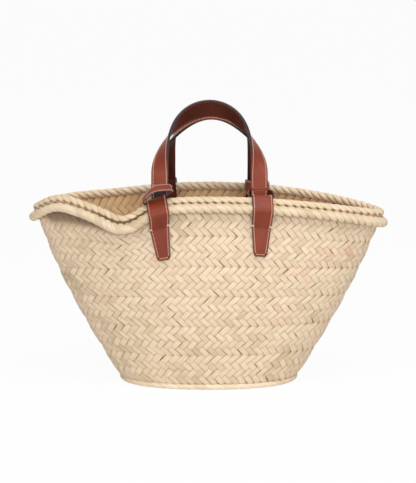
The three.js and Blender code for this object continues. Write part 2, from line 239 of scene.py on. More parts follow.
def wall_frame(t, u):
    h = 1e-4
    point = wall(t, u)
    along = unit(wall(t, u + h) - wall(t, u - h))
    up = wall(t + h, u) - wall(t - h, u)
    up = unit(up - along * dot(up, along))
    return point, along, up, unit(np.cross(along, up))


def on_wall(t, u, off, rise=0.0):
    point, _, up, out = wall_frame(t, u)
    return point + out * np.expand_dims(off, -1) + up * np.expand_dims(rise, -1)


def bead_centre(u):
    return on_wall(1.0, u, 0.0, BEAD_RADIUS + 0.75 * GAP)


def swell(t):
    s = 2 * ((t * COURSES) % 1) - 1
    return WALL_BULGE * (1 - s * s)


# The roll lies against the top course, just clear of its bulge: its distance is
# found from points on the skin of the course, at 15 heights below the rim.
def roll_centre(u):
    off = WALL_THICK / 2 + GAP + ROLL_RADIUS
    extra = np.zeros_like(u)
    heights = 1 - 0.001 - 0.006 * np.arange(15)
    skins = [
        on_wall(t, u + step, WALL_THICK / 2 + swell(t))
        for step in (-0.005, 0, 0.005)
        for t in heights
    ]
    for _ in range(4):
        middle = on_wall(1.0, u, off + extra, -ROLL_DROP)
        nearest = np.min([np.linalg.norm(s - middle, axis=-1) for s in skins], axis=0)
        extra = extra + ROLL_RADIUS + GAP - nearest
    rim = wall(1.0, u)
    curl = LIP_ROLL_OUT * bell((rim[:, 0] - LIP_DIP_AT) / LIP_DIP_SPREAD)
    lip = np.where(rim[:, 1] < 0, curl, 0)
    return on_wall(1.0, u, off + extra + lip, -ROLL_DROP)


def foot_centre(u):
    point, _, up, _ = wall_frame(0.0, u)
    p = point - up * FOOT_RADIUS
    p[..., 2] = FOOT_RADIUS
    return p


# Even steps along a closed line given as a function of u.
class Lap:
    def __init__(self, line, steps=1600):
        self.u = np.linspace(0, 1, steps + 1)
        self.at = run_of(line(self.u))
        self.length = self.at[-1]

    def __call__(self, share):
        whole = np.floor(share)
        return whole + np.interp((share - whole) * self.length, self.at, self.u)


# A smooth mesh with its body and the nodes that it replaces.
def add_mesh(name, points, faces, materials, body, slot, nodes=()):
    mesh = bpy.data.meshes.new(name)
    places = (np.asarray(points, float).reshape(-1, 3) + SHIFT) / 1000
    mesh.from_pydata(places.tolist(), [], faces)
    mesh.validate()
    mesh.update()
    mesh.shade_smooth()
    for material in materials:
        mesh.materials.append(material)
    piece = bpy.data.objects.new(name, mesh)
    bpy.context.scene.collection.objects.link(piece)
    if isinstance(body, str):
        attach(piece, body)
    else:
        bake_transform(piece)
    if nodes:
        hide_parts(*nodes)
    return piece


def grid_faces(rows, columns, start=0, close_rows=False, close_columns=False):
    faces = []
    for i in range(rows if close_rows else rows - 1):
        for j in range(columns if close_columns else columns - 1):
            k, m = (i + 1) % rows, (j + 1) % columns
            corners = ((i, j), (i, m), (k, m), (k, j))
            faces.append(tuple(start + a * columns + b for a, b in corners))
    return faces


def set_numbers(piece, name, values):
    layer = piece.data.attributes.new(name, "FLOAT", "POINT")
    layer.data.foreach_set("value", np.asarray(values, np.float32).ravel())


def set_map(piece, name, values):
    mesh = piece.data
    index = np.empty(len(mesh.loops), np.int32)
    mesh.loops.foreach_get("vertex_index", index)
    layer = mesh.uv_layers.new(name=name)
    flat = np.asarray(values, np.float32).reshape(-1, 2)[index]
    layer.data.foreach_set("uv", flat.ravel())


# A socket that shader maths can be written with.
class Number:
    def __init__(self, finish, socket):
        self.finish = finish
        self.socket = socket

    def maths(self, operation, first, second):
        settings = {"operation": operation}
        return self.finish.node("Math", settings, {0: first, 1: second}).number()

    def __add__(self, other):
        return self.maths("ADD", self, other)

    def __sub__(self, other):
        return self.maths("SUBTRACT", self, other)

    def __mul__(self, other):
        return self.maths("MULTIPLY", self, other)

    def __rsub__(self, other):
        return self.maths("SUBTRACT", other, self)

    __radd__ = __add__
    __rmul__ = __mul__


# A node whose outputs are taken as numbers or as they are.
class Made:
    def __init__(self, finish, node):
        self.finish = finish
        self.node = node

    def number(self, name=0):
        return Number(self.finish, self.node.outputs[name])

    def out(self, name=0):
        return self.node.outputs[name]


# Adds nodes to a tree, settings first, then the values or links of their sockets.
class Nodes:
    def __init__(self, tree):
        self.tree = tree

    def put(self, socket, value):
        if isinstance(value, Number):
            value = value.socket
        if isinstance(value, bpy.types.NodeSocket):
            self.tree.links.new(value, socket)
        else:
            socket.default_value = value

    def node(self, kind, settings, values):
        node = self.tree.nodes.new(f"ShaderNode{kind}")
        for key, value in settings.items():
            if key == "stops":
                ramp = node.color_ramp
                while len(ramp.elements) < len(value):
                    ramp.elements.new(0.5)
                for element, (place, colour) in zip(ramp.elements, value):
                    element.position = place
                    element.color = colour
            else:
                setattr(node, key, value)
        for key, value in values.items():
            self.put(node.inputs[key], value)
        return Made(self, node)


class Finish(Nodes):
    def __init__(self, name, **plain):
        self.material = bpy.data.materials.new(name)
        self.material.use_nodes = True
        super().__init__(self.material.node_tree)
        self.shader = self.tree.nodes["Principled BSDF"]
        for key, value in plain.items():
            self.shader.inputs[key.replace("_", " ")].default_value = value

    def attribute(self, name):
        return self.node("Attribute", {"attribute_name": name}, {}).number("Fac")

    def noise(self, vector, scale, detail=2.0, roughness=0.5):
        values = {"Vector": vector, "Scale": scale, "Detail": detail, "Roughness": roughness}
        return self.node("TexNoise", {}, values).number("Fac")

    def place(self):
        return self.node("TexCoord", {}, {}).out("Object")

    def ramp(self, factor, stops):
        return self.node("ValToRGB", {"stops": stops}, {"Fac": factor}).out("Color")

    def span(self, value, low, high, to_low=0.0, to_high=1.0):
        values = {0: value, 1: low, 2: high, 3: to_low, 4: to_high}
        return self.node("MapRange", {}, values).number()

    def mixed(self, factor, first, second, blend="MIX"):
        settings = {"data_type": "RGBA", "blend_type": blend}
        return self.node("Mix", settings, {0: factor, 6: first, 7: second}).out(2)

    # A place on the strip's map, stretched, with a third number of its own.
    def strip_place(self, along, across, third):
        on_map = self.node("UVMap", {"uv_map": "strip"}, {}).out()
        split = self.node("SeparateXYZ", {}, {0: on_map})
        values = {0: split.number(0) * along, 1: split.number(1) * across, 2: third}
        return self.node("CombineXYZ", {}, values).out()

    def bump(self, height, strength, distance):
        values = {"Strength": strength, "Distance": distance, "Height": height}
        made = self.node("Bump", {}, values)
        self.put(self.shader.inputs["Normal"], made.out())

    def colour(self, value):
        self.put(self.shader.inputs["Base Color"], value)

    def roughness(self, value):
        self.put(self.shader.inputs["Roughness"], value)


def shade(code):
    parts = [int(code[i : i + 2], 16) / 255 for i in (0, 2, 4)]
    line = [c / 12.92 if c <= 0.04045 else ((c + 0.055) / 1.055) ** 2.4 for c in parts]
    return (*line, 1.0)


# Dried palm leaf: each strip has its own tint and fine fibres along it. Its edge
# number paints shade into its edges and creases, and past 1 a deep painted shade.
def palm_leaf(name, places, tints, edge_shade, roughness):
    leaf = Finish(name, Specular_IOR_Level=0.35)
    stops = [(place, shade(code)) for place, code in zip(places, tints.split())]
    tint = leaf.attribute("tint")
    edge = leaf.attribute("edge")
    fibre = leaf.noise(leaf.strip_place(0.06, 1.5, tint * 90), 1.0, 3.0, 0.65)
    broad = leaf.noise(leaf.strip_place(0.05, 0.35, tint * 60), 1.0, 1.0)
    blotch = leaf.noise(leaf.place(), 24.0, 2.0)
    mixed = tint * 0.7 + blotch * 0.55 + broad * 0.25 - 0.25
    colour = leaf.ramp(mixed, stops)
    streak = leaf.ramp(fibre, [(0.28, shade("D9C3A0")), (0.55, shade("FFFFFF"))])
    colour = leaf.mixed(0.5, colour, streak, "MULTIPLY")
    colour = leaf.mixed(leaf.span(edge, 0.15, 1.0) * edge_shade, colour, shade("8A6238"))
    colour = leaf.mixed(leaf.span(edge, 1.0, 1.6), colour, shade("40260F"))
    leaf.colour(colour)
    leaf.roughness(leaf.span(fibre, 0.2, 0.8, roughness + 0.1, roughness - 0.08))
    leaf.bump(fibre, 0.35, 0.0002)
    return leaf.material


BAND_PLACES = (0.08, 0.3, 0.52, 0.74, 0.94)
ROPE_PLACES = (0.1, 0.4, 0.65, 0.92)
wall_leaf = palm_leaf("palm_wall", BAND_PLACES, "CDB698 DCC7A9 E9D5B9 E6CCB2 DAB99E", 0.42, 0.66)
# The same leaf inside the basket, painted warmer and more orange as bounce light in its shade.
inside_leaf_warm_bounce = palm_leaf("palm_inside", ROPE_PLACES, "DBB386 EECA9B F4D5AA E5BC90", 0.4, 0.66)
rope_leaf = palm_leaf("palm_rope", ROPE_PLACES, "CDB797 DFCBAC E5D2B6 D9BFA1", 0.8, 0.62)
# The rope leaf for the foot, painted lighter as the light the floor throws up on it.
foot_leaf_painted_light = palm_leaf("palm_foot", ROPE_PLACES, "DCC8A9 ECDABD F2E1C8 E6CEB1", 0.7, 0.62)


# Leaf painted dark as shade, for the inside of the plait that shows through its gaps.
def dark_straw():
    straw = Finish("palm_shadow", Roughness=0.9, Specular_IOR_Level=0.1)
    speck = straw.noise(straw.place(), 600.0, 2.0)
    straw.colour(straw.ramp(speck, [(0.3, shade("7C5C38")), (0.7, shade("B08A58"))]))
    straw.bump(speck, 0.4, 0.0004)
    return straw.material


# Smooth waxed leather with a fine grain and slightly darker rubbed places. Shaded
# leather also takes painted shade where its mesh says so.
def tan_leather(name, light, dark, roughness, shine, shaded):
    hide = Finish(name, Specular_IOR_Level=shine)
    place = hide.place()
    pores = {"Vector": place, "Scale": 1500.0}
    grain = hide.node("TexVoronoi", {}, pores).number("Distance")
    cloud = hide.noise(place, 40.0, 3.0, 0.55)
    fine = hide.noise(place, 420.0, 3.0, 0.6)
    colour = hide.mixed(hide.span(cloud, 0.3, 0.7), shade(dark), shade(light))
    colour = hide.mixed(hide.span(fine, 0.35, 0.75) * 0.18, colour, shade(dark))
    if shaded:
        colour = hide.mixed(hide.attribute("gloom"), colour, shade("120A09"))
    hide.colour(colour)
    hide.roughness(hide.span(fine, 0.3, 0.7, roughness - 0.05, roughness + 0.08))
    hide.bump(grain * 0.6 + fine * 0.4, 0.12, 0.0001)
    return hide.material


straw_shadow = dark_straw()
tan = tan_leather("leather_tan", "86361B", "722A13", 0.42, 0.3, True)
lining = tan_leather("leather_lining", "54271A", "471D13", 0.62, 0.12, False)


# Edge paint and thread, a little uneven in tone.
def speckled(name, scale, dark, light, roughness, bump):
    finish = Finish(name, Roughness=roughness)
    speck = finish.noise(finish.place(), scale, 3.0)
    finish.colour(finish.ramp(speck, [(0.3, shade(dark)), (0.7, shade(light))]))
    finish.bump(speck, bump, 0.0002)
    return finish.material


edge_paint = speckled("edge_paint", 300.0, "1C1618", "2E272A", 0.5, 0.15)
tab_edge = speckled("tab_edge", 300.0, "43201A", "5C2C20", 0.5, 0.15)
cream_thread = speckled("cream_thread", 900.0, "CDB69C", "F0E2D0", 0.6, 0.3)
dark_thread = speckled("dark_thread", 900.0, "57291C", "6C3526", 0.6, 0.3)


# One band of twill plait seen from one side. The surface takes a share across
# the band, a share round it and a lift, and every strip that shows is a patch
# whose outermost edge is a skirt that dips under its neighbours.
ALONG = np.array([-1.3, -1.3, -1.0, -0.62, 0.0, 0.62, 1.0, 1.3, 1.3])
ACROSS = np.array([-0.5, -0.5, -0.36, 0.0, 0.36, 0.5, 0.5])


def plait(surface, pitches, rows, lift, side, levels=None, gloom=None):
    def uneven(spread, *more):
        return rng.normal(0, spread, (*more, pitches))[..., None, None]

    grid_l, grid_c = np.meshgrid(ALONG, ACROSS, indexing="ij")
    skirt = np.ones(grid_l.shape, bool)
    skirt[1:-1, 1:-1] = False
    points, tints, edges, runs = [], [], [], []
    strips = rng.random((2, pitches))
    drift = np.interp(np.arange(pitches), np.linspace(0, pitches, 24), rng.normal(0, 0.16, 24))
    for row in range(rows):
        leans_left = row % 2 == 0
        n = np.arange(pitches)
        centre = n + (0.25 if leans_left else 0.75)
        strip = (n + 1 + row if leans_left else n - row - 1) % pitches
        width = rng.uniform(*STRIP_FILL, pitches)[:, None, None]
        slide, turn, raised, cup = uneven(0.03, 2), uneven(0.028), uneven(0.07), uneven(0.09)
        reach = EDGE_STRETCH if row in (0, rows - 1) else 1
        along = grid_l * (reach + uneven(0.02))
        across = grid_c * width + along * turn
        slope = -0.5 if leans_left else 0.5
        x = centre[:, None, None] + slide[0] + along * 0.5 + across * 0.5
        z = row + 0.5 + slide[1] + along * slope - across * slope
        height = STRIP_RISE * np.cos(0.5 * np.pi * (np.abs(along) / STRIP_REACH) ** 1.7)
        crown = STRIP_CROWN * np.abs(2 * grid_c) ** 2.4
        off = lift + height - crown + raised + cup * grid_c * 2
        off = off - np.where(skirt, SKIRT_DROP, 0)
        share = z / rows
        if levels is not None:
            ends = [2 * levels[0] - levels[1], *levels, 2 * levels[-1] - levels[-2]]
            share = np.interp(z, np.arange(-1, rows + 2), ends)
        points.append(surface(share, x / pitches, side * off).reshape(-1, 3))
        tone = strips[row % 2][strip] * 0.3 + rng.random(pitches) * 0.5
        tone = tone + drift * 0.6 + 0.1
        tints.append(np.broadcast_to(tone[:, None, None], x.shape).ravel())
        # Painted shade on the strip's sides and ends, where it meets and tucks under its neighbours, full
        # on its hidden skirt; the band may add more painted shade.
        rim = np.maximum(smooth(np.abs(grid_c), 0.36, 0.5), smooth(np.abs(grid_l), 0.6, 1.3))
        rim = np.where(skirt, 1, rim)
        if gloom:
            rim = np.maximum(rim, gloom(share, x / pitches))
        edges.append(np.broadcast_to(rim, x.shape).ravel())
        start = rng.uniform(0, 400, pitches)[:, None, None]
        wide = np.broadcast_to(grid_c * STRIP_MAP, x.shape)
        runs.append(np.stack([along * STRIP_MAP + start, wide], -1).reshape(-1, 2))
    points = np.concatenate(points)
    size = grid_l.size
    faces = grid_faces(*grid_l.shape)
    cell = np.array(faces if side > 0 else [f[::-1] for f in faces])
    pieces = len(points) // size
    faces = (cell[None] + (np.arange(pieces) * size)[:, None, None]).reshape(-1, 4)
    return points, faces, np.concatenate(tints), np.concatenate(edges), np.concatenate(runs)


# Adds several patches of plait as one piece, each strip with a place of its own on the map.
def add_plait(name, patches, node, leaf=wall_leaf):
    points, faces, tints, edges, runs = zip(*patches)
    starts = np.cumsum([0] + [len(p) for p in points])
    faces = np.concatenate([f + s for f, s in zip(faces, starts)])
    points = np.concatenate(points)
    piece = add_mesh(name, points, faces.tolist(), [leaf], "basket", "palm_plait", node)
    set_numbers(piece, "tint", np.concatenate(tints))
    set_numbers(piece, "edge", np.concatenate(edges))
    set_map(piece, "strip", np.concatenate(runs))
    size = len(ALONG) * len(ACROSS)
    count = len(points) // size
    wide = math.ceil(math.sqrt(count * 0.7))
    high = math.ceil(count / wide)
    spot = np.arange(count)
    a, b = np.meshgrid(np.arange(len(ALONG)), np.arange(len(ACROSS)), indexing="ij")
    a = (a / (len(ALONG) - 1)).ravel()
    b = (b / (len(ACROSS) - 1)).ravel()
    side, end = 0.06, 0.04
    u = ((spot % wide)[:, None] + side + (1 - 2 * side) * b) / wide
    v = ((spot // wide)[:, None] + end + (1 - 2 * end) * a) / high
    set_map(piece, "OFBake", np.stack([u, v], -1))


# One row of the wall: plait outside and inside, and its dark core. The top row
# has one strip row less and shade painted on it under the rim, deepest at the curled lip.
def course(k):
    low, high = k / COURSES + COURSE_TRIM, (k + 1) / COURSES - COURSE_TRIM
    middle = (low + high) / 2
    lap = Lap(lambda u: wall(middle, u))
    pitches = round(lap.length / STRIP_PITCH)
    phase = rng.random()

    def surface(share, around, off):
        t = low + (high - low) * share
        s = 2 * share - 1
        return on_wall(t, lap(around + phase / pitches), off + WALL_BULGE * (1 - s * s))

    # Painted shade on the top course under the roll, deeper at the curled lip.
    def shade_under_rim(share, around):
        deep = window(lap(around + phase / pitches), *LIP_SHADE_SPAN)
        return smooth(share, 0.66 - 0.45 * deep, 0.86 - 0.25 * deep) * (1 + 0.35 * deep)

    rows, levels, inner_levels, gloom = BAND_ROWS, None, None, None
    if k == COURSES - 1:
        rows, levels, inner_levels, gloom = BAND_ROWS - 1, TOP_LEVELS, TOP_INNER_LEVELS, shade_under_rim
    outer = plait(surface, pitches, rows, PLAIT_LIFT, 1, levels, gloom)
    inner = plait(surface, pitches, rows, PLAIT_LIFT - 0.05, -1, inner_levels)
    node = [f"wall_course_{k + 1}"]
    add_plait(f"plait_course_{k + 1}", [outer], node)
    add_plait(f"plait_inside_{k + 1}", [inner], node, inside_leaf_warm_bounce)
    half = COURSE_CORE_HALF
    ring = [(0, half), (0.5, half), (1, half), (1, -half), (0.5, -half), (0, -half)]
    add_core(f"plait_core_{k + 1}", surface, 120, ring, True)


# The plait's inside, painted dark as the shade seen through its gaps.
def add_core(name, surface, steps, ring, turned):
    around = np.arange(steps) / steps
    rings = [surface(np.full(steps, share), around, np.full(steps, off)) for share, off in ring]
    faces = grid_faces(steps, len(ring), close_rows=True, close_columns=True)
    if turned:
        faces = [f[::-1] for f in faces]
    add_mesh(name, np.stack(rings, 1), faces, [straw_shadow], "basket", "palm_plait")


# The oval bottom, plaited in two rings round a straight middle. Each ring has its
# shares from the edge inward and its rows of strips.
def base_mat():
    def outline(share, around, off):
        u = lap(around)
        edge = foot_centre(u)
        _, _, _, out = wall_frame(0.0, u)
        flat = unit(out * np.array([1, 1, 0]))
        edge = edge - flat * (FOOT_RADIUS - MAT_INSET)
        inner = np.array([MAT_HALF_LINE, 0, 0]) * np.cos(TAU * u)[..., None]
        point = inner + (edge - inner) * (1 - share)[..., None]
        point[..., 2] = MAT_HEIGHT - off
        return point

    lap = Lap(foot_centre)
    patches = []
    for low, high, rows in MAT_RINGS:
        def ring(share, around, off):
            return outline(low + (high - low) * share, around, off)

        middle = Lap(lambda u: ring(np.full(u.shape, 0.5), u, np.zeros(u.shape)))
        pitches = round(middle.length / STRIP_PITCH)
        patches.append(plait(ring, pitches, rows, PLAIT_LIFT, 1))
        patches.append(plait(ring, pitches, rows, PLAIT_LIFT, -1))
    add_plait("plait_base", patches, ["base_mat"])
    inner, half = MAT_RINGS[-1][1], MAT_CORE_HALF
    ring = [(inner, half), (0, half), (0, -half), (inner, -half)]
    add_core("plait_base_core", outline, 96, ring, False)


# Place and directions round the rim or the foot, quick to ask for many times.
class Ring:
    def __init__(self, centre, t):
        self.lap = Lap(centre, 2400)
        self.u = self.lap.u
        along = unit(centre(self.u + 1e-3) - centre(self.u - 1e-3))
        _, _, _, out = wall_frame(t, self.u)
        flat = out * np.array([1, 1, 0])
        out = unit(flat - along * dot(flat, along))
        self.rows = np.concatenate([centre(self.u), out, unit(np.cross(out, along))], 1)

    def __call__(self, u):
        u = np.asarray(u) % 1
        values = between(u, self.u, self.rows)
        return values[..., :3], values[..., 3:6], values[..., 6:]


# A rope wrapped in leaf. Every wrap is a ridge with its edges along lines of the
# mesh. `lean` tells how many wraps it has moved on at each side of the section, and
# `slip` how many after a whole turn.
# `look` gives four numbers for places on the rope: how deep the wraps are parted, and
# how strong the painted shade is at their edges, all over, and in the teeth between them.
WITHIN = np.array([0.0, 0.04, 0.13, 0.3, 0.5, 0.7, 0.87, 0.96])


def wrapped(name, node, ring, pitch, section, lean, slip, look, flip=False, leaf=rope_leaf):
    wraps = round(ring.lap.length / pitch)
    per, sides = len(WITHIN), len(lean)
    uneven = rng.normal(0, 0.05, wraps)
    wrap = np.repeat(np.arange(wraps), per)
    within = np.tile(WITHIN, wraps)
    row = wrap + within + uneven[wrap] * (1 - within) + uneven[(wrap + 1) % wraps] * within
    u = ring.lap((row[:, None] - lean) / wraps)
    ridge = (np.sin(np.pi * within) ** RIDGE_POWER)[:, None]
    depth, line, gloom, tooth_shade = (np.atleast_2d(v) for v in look(u))
    swollen = rng.normal(0, 0.1, wraps)[wrap][:, None] * ridge
    tooth = (np.abs(2 * within - 1) ** TOOTH_POWER)[:, None]
    points = section(u, (ridge - 1) * depth + swollen * np.minimum(depth, 0.5), tooth)
    faces = []
    count = wraps * per
    for k in range(sides):
        moved = slip * per if k == sides - 1 else 0
        r = np.arange(count)
        a, b = r * sides + k, ((r + 1) % count) * sides + k
        there = (k + 1) % sides
        c = ((r + 1 - moved) % count) * sides + there
        d = ((r - moved) % count) * sides + there
        faces.append(np.stack([a, d, c, b] if flip else [a, b, c, d], -1))
    faces = np.concatenate(faces)
    piece = add_mesh(name, points, faces, [leaf], "basket", "palm_rope", [node])
    shape = points.shape[:2]
    drift = np.interp(np.arange(wraps), np.linspace(0, wraps, 20), rng.normal(0, 0.12, 20))
    tone = rng.random(wraps) * 0.75 + 0.12 + drift
    set_numbers(piece, "tint", np.broadcast_to(tone[wrap][:, None], shape))
    # Painted shade in the grooves between wraps, all over where `look` asks, and in the teeth.
    edge = np.maximum((1 - ridge) * line, gloom)
    set_numbers(piece, "edge", np.maximum(edge, tooth * tooth_shade))
    run = run_of(points[0]) + rng.uniform(0, 300, wraps)[wrap][:, None]
    set_map(piece, "strip", np.stack([run, np.broadcast_to((within * 6)[:, None], shape)], -1))


# A round rope, drawn in by `puff` between its wraps.
def round_rope(name, node, ring, radius, pitch, slip, seam, look, puff, sides, leaf):
    angle = math.radians(seam) + TAU * np.arange(sides) / sides

    def section(u, lift, tooth):
        centre, out, up = ring(u)
        flat = around_by(radius + lift - puff * tooth, angle)
        return centre + out * flat[..., :1] + up * flat[..., 1:]

    lean = slip * np.arange(sides) / sides
    side = np.degrees(angle) % 360
    wrapped(name, node, ring, pitch, section, lean, slip, lambda u: look(side, u), leaf=leaf)


# The bead's wraps part most on its inner side. Shade is painted in their grooves, most on the inner side,
# over its inner side, and towards the roll, deepest in the valley by the lip, with dark teeth there.
def top_bead():
    def look(a, u):
        depth = 0.5 + 0.4 * bell((a - 180) / 60)
        line = 0.55 + 0.9 * bell((a - 175) / 50)
        valley = (0.5 + window(u % 1, *VALLEY_SPAN)) * bell((a - 335) / 18)
        return depth, line, valley + 0.22 * bell((a - 190) / 60), 1.7 * bell((a - 345) / 18)

    ring = Ring(bead_centre, 1.0)
    shape = (BEAD_RADIUS, STRIP_PITCH, 3, -50)
    round_rope("rope_bead", "rim_top_bead", ring, *shape, look, 0.35, 30, rope_leaf)


def foot_rope():
    def look(a, u):
        # The wraps part deeper and have more painted shade in their grooves on the foot's upper side.
        upper = bell((a - 90) / 50)
        return 0.3 + 0.3 * upper, 0.3 + 0.4 * upper, 0, 0

    ring = Ring(foot_centre, 0.0)
    shape = (FOOT_RADIUS, FOOT_PITCH, 3, 180)
    round_rope("rope_foot", "foot_rope", ring, *shape, look, 0.15, 24, foot_leaf_painted_light)


# The leaf over the outer roll starts on the bead, so both look like one fat rim,
# except at the curled lip, where it starts down in the valley between the two. Its
# section is a straight line, an arc, and two short stretches that stay hidden.
def rim_cover():
    bead, roll = Ring(bead_centre, 1.0), Ring(roll_centre, 1.0)
    line = np.linspace(0, 1, 9)
    arc = np.linspace(0, 1, 17)[1:]
    behind = np.radians([-135, -160, -185])
    before = np.radians([45, 32, 20, 9])
    columns = np.cumsum([0, len(line), len(arc), len(behind), len(before)])
    wavy = smooth(np.concatenate([arc, [0, 0, 0]]), 0.3, 0.8)

    def section(u, lift, tooth):
        low, out, up = bead(u)
        away = roll(u)[0] - low
        to_roll = np.concatenate([dot(away, out), dot(away, up)], -1)
        lean = np.arctan2(to_roll[..., 1], to_roll[..., 0])
        full = fullness(u)
        start = lean + np.radians(8 + 60 * full)
        leave = lean + np.radians(90 + 35 * (1 - full))
        flat = np.zeros((*u.shape, 2))
        a, b, c, d, e = columns
        radius, tucked = BEAD_RADIUS + 0.1, BEAD_RADIUS - 0.4
        head = around_by(radius, start)
        way = to_roll + around_by(ROLL_RADIUS, leave) - head
        face = unit(np.stack([-way[..., 1], way[..., 0]], -1))
        share = line + 0.36 * tooth * (1 - line) ** 2
        sag = (lift[:, a:b] - 0.3 * np.sin(np.pi * line))[..., None]
        flat[:, a:b] = head[:, a:b] + way[:, a:b] * share[..., None] + face[:, a:b] * sag
        angle = leave[:, b:c] + (lean[:, b:c] - math.radians(70) - leave[:, b:c]) * arc
        angle = np.concatenate([angle, lean[:, c:d] + math.radians(40) + behind], 1)
        calm = on_lip(u[:, b:d])
        r = ROLL_RADIUS - 0.5 * calm + lift[:, b:d] - 0.9 * tooth * wavy * (1 - 0.7 * calm)
        flat[:, b:d] = to_roll[:, b:d] + around_by(r, angle)
        flat[:, d:e] = around_by(tucked, start[:, d:e] - before)
        return low + out * flat[..., :1] + up * flat[..., 1:]

    hidden = columns[-1] - columns[2]
    turned = np.radians(50 - 160 * arc)
    rise = np.concatenate([3 - 7 * line, -7.7 + 5 * np.sin(turned)])
    rise = np.concatenate([rise, np.linspace(rise[-1], rise[0], hidden + 1)[1:]])
    s = np.concatenate([line * 9, 9 + 14 * arc, np.full(hidden, 40)])
    depth = 0.5 * bell(s / 1.5) + 0.2 + 0.9 * smooth(s, 12, 20)
    # Painted shade in the grooves, most at the leaf's top and bottom edges, all over the roll's underside
    # and hidden stretches, more at the lip, and in the teeth at both edges.
    dark = np.clip(0.5 * bell(s / 2) + 0.5 + 0.5 * smooth(s, 13, 20), 0, 1)
    depth[columns[2]:] = 0
    gloom = 0.8 * smooth(s, 17, 23)
    gloom[columns[3]:] = 1.4
    tooth_shade = 1.5 * bell(s / 1.5) + 1.5 * smooth(s, 17, 21)

    def look(u):
        calm = on_lip(u)
        shaded = np.maximum(gloom, 1.1 * calm * smooth(s, 15, 22))
        return depth * (1 - 0.8 * calm), dark * (1 - 0.6 * calm), shaded, tooth_shade

    wrapped("rope_roll", "rim_outer_roll", roll, STRIP_PITCH, section, rise / STRIP_PITCH, 0, look, True)


# How far a place on the rim belongs to the curled lip, from 0 to 1.
def on_lip(u):
    return window(u % 1, *LIP_SPAN)


# How far the roll's leaf climbs onto the bead: least at the lip and the rear left loop.
def fullness(u):
    thrown = bell((u - LEGS[2].u) / 0.02)
    return RIM_FULLNESS * (1 - np.maximum(on_lip(u), thrown))


# Straps. A path holds the middle line, the width direction, the outward normal
# and the width and thickness at each station.
class Path:
    def __init__(self, stations):
        point, across, normal, width, thick = (np.array(c, float) for c in zip(*stations))
        self.point, self.across, self.normal = point, unit(across), unit(normal)
        self.width, self.thick = width, thick
        self.at = run_of(self.point)
        self.length = self.at[-1]

    def look(self, values, s):
        return np.interp(s, self.at, values) if values.ndim == 1 else between(s, self.at, values)

    def frame(self, s):
        point, across, normal = (self.look(v, s) for v in (self.point, self.across, self.normal))
        return point, unit(across), unit(normal)

    def place(self, s, off, lift):
        point, across, normal = self.frame(s)
        half = self.look(self.thick, s) / 2
        return point + across * np.expand_dims(off, -1) + normal * np.expand_dims(half + lift, -1)


# A flat section with round edges: top, one edge, bottom, the other edge.
def strap_section(width, thick, corner, sides):
    half, flat = thick / 2, width / 2 - corner
    top = [(flat * (1 - 2 * k / sides), half) for k in range(sides + 1)]
    arc = []
    for k in range(1, 5):
        a = math.pi / 2 * (1 - k / 2.5)
        arc.append((-flat - corner * math.cos(a), half * math.sin(a)))
    return top + arc + [(-x, -y) for x, y in top + arc]


# A strap along a path. A face's paint counts in the materials: 0 is the leather, 1 the
# painted edge and 2 another leather on the underside.
def sweep(
    name, path, material, body, slot, nodes,
    corner=0.7, closed=False, step=1.5, sides=6, under=None, rim=edge_paint,
):
    count = max(6, round(path.length / step))
    s = np.linspace(0, path.length, count + 1)
    if closed:
        s = s[:-1]
    point, across, normal = path.frame(s)
    width, thick = path.look(path.width, s), path.look(path.thick, s)
    rows = []
    for i in range(len(s)):
        section = np.array(strap_section(width[i], thick[i], corner, sides))
        rows.append(point[i] + section[:, :1] * across[i] + section[:, 1:] * normal[i])
    columns = len(rows[0])
    faces = grid_faces(len(s), columns, close_rows=closed, close_columns=True)
    edge = [1] * (columns // 2 - sides)
    once_round = [0] * sides + edge + [2 if under else 0] * sides + edge
    paint = once_round * (len(faces) // columns)
    if not closed:
        faces.append(tuple(range(columns))[::-1])
        faces.append(tuple((len(s) - 1) * columns + j for j in range(columns)))
        paint += [0, 0]
    if np.cross(point[1] - point[0], across[0]) @ normal[0] > 0:
        faces = [f[::-1] for f in faces]
    hides = [material, rim] + ([under] if under else [])
    piece = add_mesh(name, np.concatenate(rows), faces, hides, body, slot, nodes)
    piece.data.polygons.foreach_set("material_index", np.array(paint, np.int32))
    if not closed:
        for cap in piece.data.polygons[-2:]:
            cap.use_smooth = False
    piece.data.update()
    return piece


# Sewing: short thread lengths whose ends dip into the leather.
THREAD_SHAPE = np.array([0.55, 0.95, 1.05, 0.95, 0.55])
THREAD_RISE = (0.06, 0.14, 0.06)


def stitches(name, lines, body, pitch=STITCH_PITCH, radius=0.48, fill=0.62, sink=0.34, sewn=cream_thread):
    points, faces = [], []
    rows, sides = len(THREAD_SHAPE), 6
    ring = around_by(radius * THREAD_SHAPE[:, None], TAU * np.arange(sides) / sides)
    wide, high = ring[..., :1], ring[..., 1:]
    for line, normals in lines:
        run = run_of(line)
        count = max(1, round(run[-1] / pitch))
        each = run[-1] / count
        for k in range(count):
            s = (k + 0.5 + fill * np.linspace(-0.5, 0.5, rows)) * each
            normal = unit(between(s, run, normals))
            rise = np.array([-sink, *THREAD_RISE, -sink])
            middle = between(s, run, line) + normal * rise[:, None]
            side = unit(np.cross(normal, unit(middle[-1] - middle[0])))
            start = len(points) * rows * sides
            points.append(middle[:, None] + normal[:, None] * high + side[:, None] * wide)
            faces += grid_faces(rows, sides, start, close_columns=True)
            faces.append(tuple(start + j for j in range(sides))[::-1])
            faces.append(tuple(start + (rows - 1) * sides + j for j in range(sides)))
    add_mesh(name, np.concatenate(points), faces, [sewn], body, "tan_leather")


# A sewing line along each edge of a path.
def edge_lines(path, start, end, inset):
    s = np.arange(start, end, 0.8)
    half = path.look(path.width, s) / 2 - inset
    _, _, normal = path.frame(s)
    return [(path.place(s, side * half, 0.0), normal) for side in (-1, 1)]


